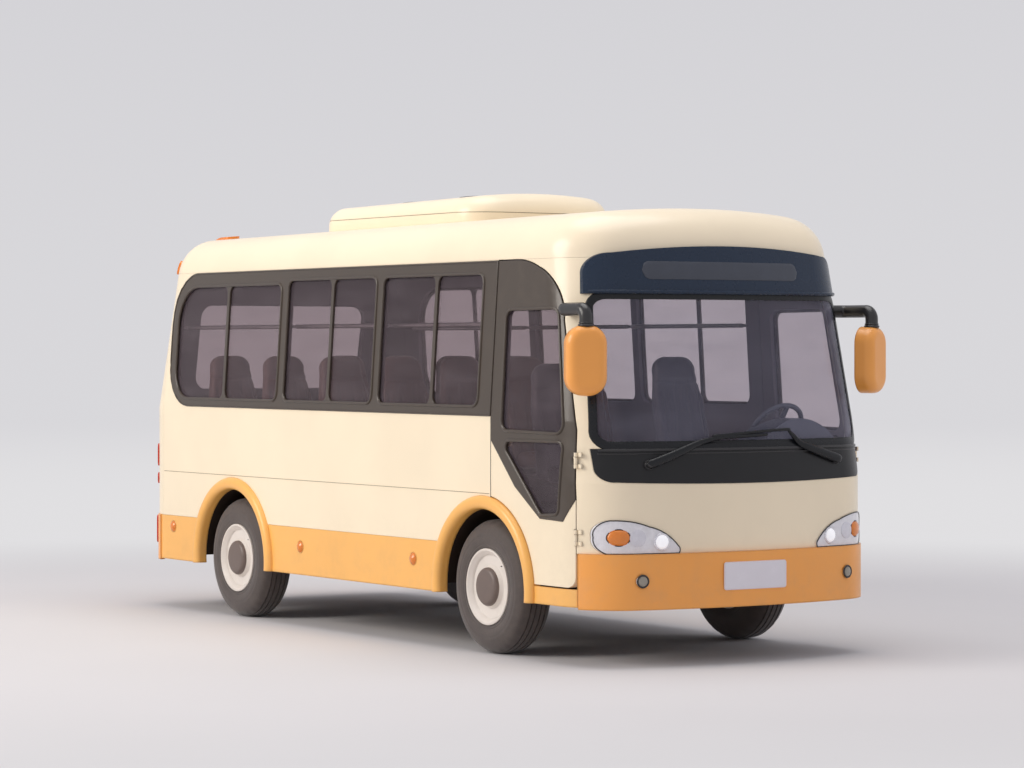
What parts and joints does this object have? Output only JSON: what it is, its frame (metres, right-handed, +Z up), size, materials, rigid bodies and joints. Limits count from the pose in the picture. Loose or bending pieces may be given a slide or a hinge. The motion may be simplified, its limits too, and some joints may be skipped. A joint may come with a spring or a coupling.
{
  "type": "minibus",
  "caption": "Full-size cab-over minibus with bowed front, dark window band, two hinged cab doors, roof air conditioner, steered front wheels and a ladder frame.",
  "frame": {"origin": "on the ground at the centre of the overall box", "axes": "+X forward, +Y to the vehicle's left, +Z up"},
  "size_m": [5.8, 2.3066, 2.7999],
  "materials": {
    "cream_paint": "gloss",
    "orange_paint": "gloss",
    "dark_frame": "satin",
    "window_glass": "clear",
    "visor": "gloss",
    "cowl": "gloss",
    "clear_lamp": "clear",
    "amber_lens": "gloss",
    "red_lens": "gloss",
    "blank_plate": "satin",
    "mirror_silver": "polished",
    "black_plastic": "matt",
    "interior_plastic": "matt",
    "floor_covering": "matt",
    "seat_cover": "soft",
    "rail_metal": "satin",
    "chassis_paint": "satin",
    "engine_iron": "rough",
    "tank_paint": "satin",
    "exhaust_steel": "dull",
    "tyre_rubber": "matt",
    "rim_paint": "satin"
  },
  "bodies": {
    "root": {"roof": "cream_paint", "side_walls": "cream_paint", "front_panel": "cream_paint", "rear_panel": "cream_paint", "air_conditioner": "cream_paint", "bumpers": "orange_paint", "skirts": "orange_paint", "wheel_arch_trims": "orange_paint", "mirror_heads": "orange_paint", "window_frames": "dark_frame", "side_glass": "window_glass", "windshield": "window_glass", "sign_visor": "visor", "wiper_cowl": "cowl", "headlamps": "clear_lamp", "fog_lamps": "clear_lamp", "amber_lamps": "amber_lens", "tail_lamps": "red_lens", "front_plate": "blank_plate", "mirror_glasses": "mirror_silver", "wipers": "black_plastic", "mirror_arms": "black_plastic", "dashboard": "interior_plastic", "floor": "floor_covering", "engine_cover": "floor_covering", "wheel_housings": "floor_covering", "driver_seat": "seat_cover", "passenger_seats": "seat_cover", "guard_rails": "rail_metal", "frame_rails": "chassis_paint", "cross_members": "chassis_paint", "rear_axle": "chassis_paint", "front_axle": "chassis_paint", "leaf_springs": "chassis_paint", "propshaft": "chassis_paint", "engine": "engine_iron", "fuel_tank": "tank_paint", "exhaust": "exhaust_steel"},
    "knuckle_left": {"knuckle_left": "chassis_paint"},
    "knuckle_right": {"knuckle_right": "chassis_paint"},
    "track_rod": {"track_rod": "chassis_paint"},
    "wheel_front_left": {"tyre_front_left": "tyre_rubber", "rim_front_left": "rim_paint"},
    "wheel_front_right": {"tyre_front_right": "tyre_rubber", "rim_front_right": "rim_paint"},
    "wheel_rear_left": {"tyre_rear_left": "tyre_rubber", "rim_rear_left": "rim_paint"},
    "wheel_rear_right": {"tyre_rear_right": "tyre_rubber", "rim_rear_right": "rim_paint"},
    "steering_wheel": {"steering_wheel": "interior_plastic"},
    "door_left": {"door_left": "cream_paint", "door_frame_left": "dark_frame", "door_glass_left": "window_glass"},
    "door_right": {"door_right": "cream_paint", "door_frame_right": "dark_frame", "door_glass_right": "window_glass"}
  },
  "joints": [
    {"name": "steer_left", "type": "hinge", "parent": "root", "child": "knuckle_left", "pos_m": [1.585, 0.805, 0.4], "axis": [0, 0, 1], "range_deg": [-33, 33]},
    {"name": "steer_right", "type": "hinge", "parent": "root", "child": "knuckle_right", "pos_m": [1.585, -0.805, 0.4], "axis": [0, 0, 1], "range_deg": [-33, 33]},
    {"name": "track_rod_pivot", "type": "hinge", "parent": "knuckle_left", "child": "track_rod", "pos_m": [1.46, 0.805, 0.308], "axis": [0, 0, 1], "range_deg": [-33, 33]},
    {"name": "steering_wheel_turn", "type": "hinge", "parent": "root", "child": "steering_wheel", "pos_m": [2.48, 0.47, 1.335], "axis": [-0.8192, 0, 0.5736], "range_deg": [-495, 495]},
    {"name": "wheel_front_left_spin", "type": "hinge", "parent": "knuckle_left", "child": "wheel_front_left", "pos_m": [1.585, 0.885, 0.4], "axis": [0, 1, 0], "continuous": true},
    {"name": "wheel_front_right_spin", "type": "hinge", "parent": "knuckle_right", "child": "wheel_front_right", "pos_m": [1.585, -0.885, 0.4], "axis": [0, 1, 0], "continuous": true},
    {"name": "wheel_rear_left_spin", "type": "hinge", "parent": "root", "child": "wheel_rear_left", "pos_m": [-1.55, 0.885, 0.4], "axis": [0, 1, 0], "continuous": true},
    {"name": "wheel_rear_right_spin", "type": "hinge", "parent": "root", "child": "wheel_rear_right", "pos_m": [-1.55, -0.885, 0.4], "axis": [0, 1, 0], "continuous": true},
    {"name": "door_left_hinge", "type": "hinge", "parent": "root", "child": "door_left", "pos_m": [2.551, 1.02, 1.3], "axis": [0, 0, -1], "range_deg": [0, 70]},
    {"name": "door_right_hinge", "type": "hinge", "parent": "root", "child": "door_right", "pos_m": [2.551, -1.02, 1.3], "axis": [0, 0, 1], "range_deg": [0, 70]}
  ],
  "couplings": [
    {"joint": "steer_right", "follows": "steer_left", "ratio": 1},
    {"joint": "track_rod_pivot", "follows": "steer_left", "ratio": -1},
    {"joint": "steering_wheel_turn", "follows": "steer_left", "ratio": 15}
  ]
}
